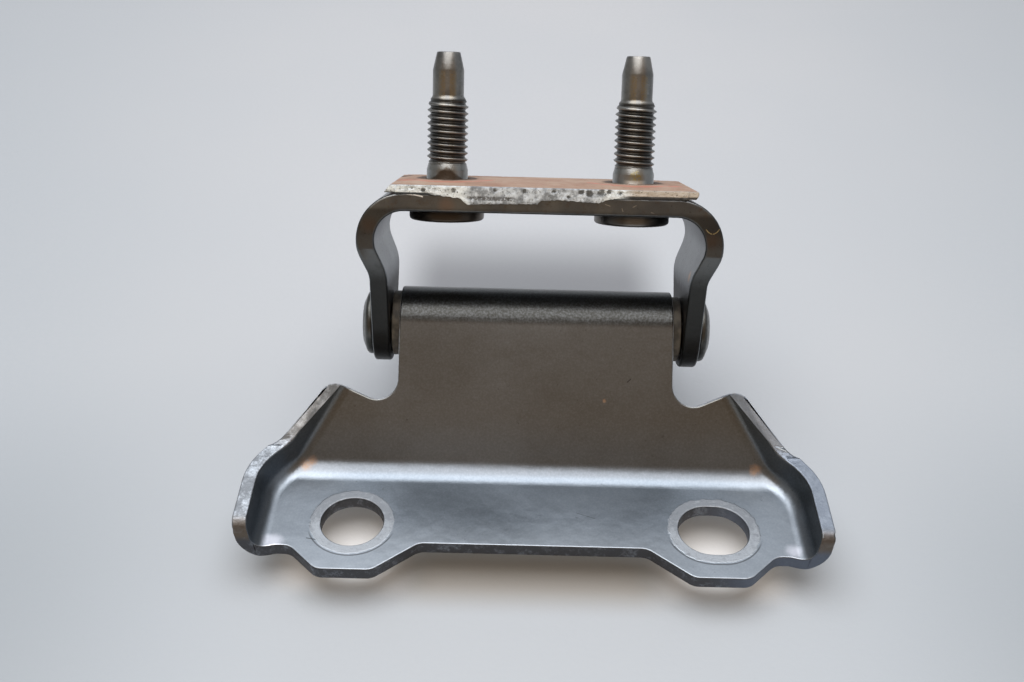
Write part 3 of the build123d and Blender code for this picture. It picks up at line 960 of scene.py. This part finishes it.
def make_floor():
    """Pale floor with painted shade to the sides, to the front, at the front corners and behind the hinge,
    and painted light under its ends.
    """
    mesh = bpy.data.meshes.new("floor")
    corners = [(-1, -1), (1, -1), (1, 1), (-1, 1)]
    mesh.from_pydata([(x * FLOOR_HALF, y * FLOOR_HALF, -FLOOR_DROP) for x, y in corners], [], [(0, 1, 2, 3)])
    floor = link("floor", mesh)
    material, s = new_material("pale_floor")
    p = s.millimetres()
    across = s.along(ACROSS)
    wide = s.math("ABSOLUTE", across)
    back = s.along(BACK)
    weave = s.noise(p, 0.9, 4, 0.6, 71)
    cloud = s.noise(p, 0.012, 3, 0.5, 72)
    color = s.blend(s.span(cloud, 0.3, 0.7), *FLOOR_CLOUD)
    # Painted shade to the sides, in a fan that widens away from the camera
    fan = s.math("DIVIDE", wide, s.math("MAXIMUM", s.math("ADD", back, 190.0), 60.0))
    color = s.blend(s.span(fan, 0.05, 0.55, 0.0, 0.85), color, FLOOR_SIDE_SHADE)
    color = s.blend(s.span(weave, 0.3, 0.7, 0, 0.2), color, FLOOR_WEAVE)
    # Painted shade towards the front
    color = s.blend(s.span(back, 70.0, -30.0, 0.0, 0.8), color, FLOOR_FRONT_SHADE)
    # A painted shadow behind the roof bracket, painted light under the flange's ends and a painted shadow at
    # its front
    shade = s.times(s.span(back, 116.0, 87.0), s.span(back, 40.0, 60.0), s.span(wide, 36.0, 22.0), 0.75)
    color = s.blend(shade, color, FLOOR_SHADE)
    ends = s.times(s.span(wide, 20.0, 27.0), s.span(wide, 50.0, 42.0))
    under = s.times(s.span(back, -12.0, -5.0), s.span(back, 26.0, 14.0), ends)
    color = s.blend(under, color, FLOOR_LIGHT_UNDER)
    fore = s.times(s.span(back, -15.0, -7.0), s.span(back, 1.0, -4.0), s.span(wide, 30.0, 18.0), 0.75)
    color = s.blend(fore, color, FLOOR_SHADOW_FRONT)
    # Painted shade at the front corners
    corner = s.times(s.span(wide, 45.0, 110.0), s.span(back, 60.0, -20.0))
    color = s.blend(corner, color, FLOOR_CORNER_SHADE)
    s.finish(color, 0.75, s.bump(weave, 0.15, 0.0003))
    s.surface.inputs["Specular IOR Level"].default_value = 0.2
    mesh.materials.append(material)


FRONT_DARK = (0.265, 0.195, 0.135)
SKY_BACK = (0.50, 0.53, 0.57)
SKY_SIDE = (0.36, 0.375, 0.395)
SKY_LEFT = (0.27, 0.265, 0.255)
SKY_TOP = (1.30, 1.32, 1.36)


def area_light(name, shape, sizes, energy, color, place, aim):
    """Area light at a place, turned to a point."""
    data = bpy.data.lights.new(name, "AREA")
    data.shape = shape
    data.size, data.size_y = sizes
    data.energy = energy
    data.color = color
    light = link(name, data)
    light.location = place
    light.rotation_euler = (Vector(aim) - light.location).to_track_quat("-Z", "Y").to_euler()
    return light


def make_light():
    """Bright sky overhead, dark brown room in front, a soft key light above and a warm fill in front."""
    world = bpy.data.worlds.new("studio")
    bpy.context.scene.world = world
    world.use_nodes = True
    s = Shader(world.node_tree)
    way = s.add("ShaderNodeTexCoord").outputs["Generated"]
    up = s.vector("DOT_PRODUCT", way, (0.0, 0.0, 1.0))
    across = s.vector("DOT_PRODUCT", way, (1.0, 0.0, 0.0))
    side = s.math("ABSOLUTE", across)
    sides = s.blend(s.span(across, -0.2, 0.2), SKY_LEFT, SKY_SIDE)
    color = s.blend(s.span(side, 0.45, 0.85), SKY_BACK, sides)
    color = s.blend(s.span(up, 0.62, 0.97), color, SKY_TOP)
    front = s.vector("DOT_PRODUCT", way, (0.0, -0.74, 0.67))
    color = s.blend(s.span(front, 0.50, 0.66), color, FRONT_DARK)
    low_front = s.vector("DOT_PRODUCT", way, (0.0, -0.97, 0.24))
    color = s.blend(s.span(low_front, 0.55, 0.88), color, FRONT_DARK)
    background = world.node_tree.nodes["Background"]
    s.put(background.inputs["Color"], color)
    background.inputs["Strength"].default_value = 1.0
    area_light("soft_key", "DISK", (0.80, 0.80), 4.15, (0.97, 0.98, 1.0), (-0.06, 0.03, 0.70), (0, 0.02, 0))
    fill = area_light(
        "warm_fill", "RECTANGLE", (0.40, 0.13), 0.95, (1.0, 0.83, 0.64), (0, -0.35, 0.075), (0, 0, 0)
    )
    fill.visible_glossy = False


# Assembly

make_camera()
make_floor()
make_light()
bpy.context.scene.view_settings.view_transform = "Standard"

coat = coated_sheet()
worn_edge = sheared_edge("worn_edge", BARE, BARE_DULL, 0.60)
coated_edge = sheared_edge("coated_edge", EDGE_COAT, EDGE_COAT_DEEP, 0.68)
skin = strap_skin()
edge = strap_edge()
studs = stud_steel()

gate = dressed("gate_bracket", (coat, worn_edge, coated_edge), SHEET * MM, 0.36, 0.26, WALL_CORNER)
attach(gate, "gate_side")
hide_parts("gate_bracket")

roof = dressed("roof_bracket", (skin, edge, edge), STRAP * MM, 0.50, 0.50, lobe=LOBE_REACH)
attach(roof, "roof_side")
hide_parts("roof_bracket")

for stud_name, stud_side in (("left", -1), ("right", 1)):
    stud = stud_piece(f"stud_{stud_name}_dressed", stud_side)
    stud.data.materials.append(studs)
    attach(stud, "roof_side")
    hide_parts(f"stud_{stud_name}")

pin = rounded_copy("hinge_pin", 0.45)
pin.data.materials.append(pin_steel())
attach(pin, "roof_side")
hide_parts("hinge_pin")

bush_finish = bush_polymer()
for bush_name in ("left", "right"):
    bush = rounded_copy(f"bush_{bush_name}", 0.15)
    bush.data.materials.append(bush_finish)
    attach(bush, "gate_side")
    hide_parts(f"bush_{bush_name}")

seal = seal_piece()
seal.data.materials.append(seal_layer())
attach(seal, "roof_side")
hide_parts("seal_pad")
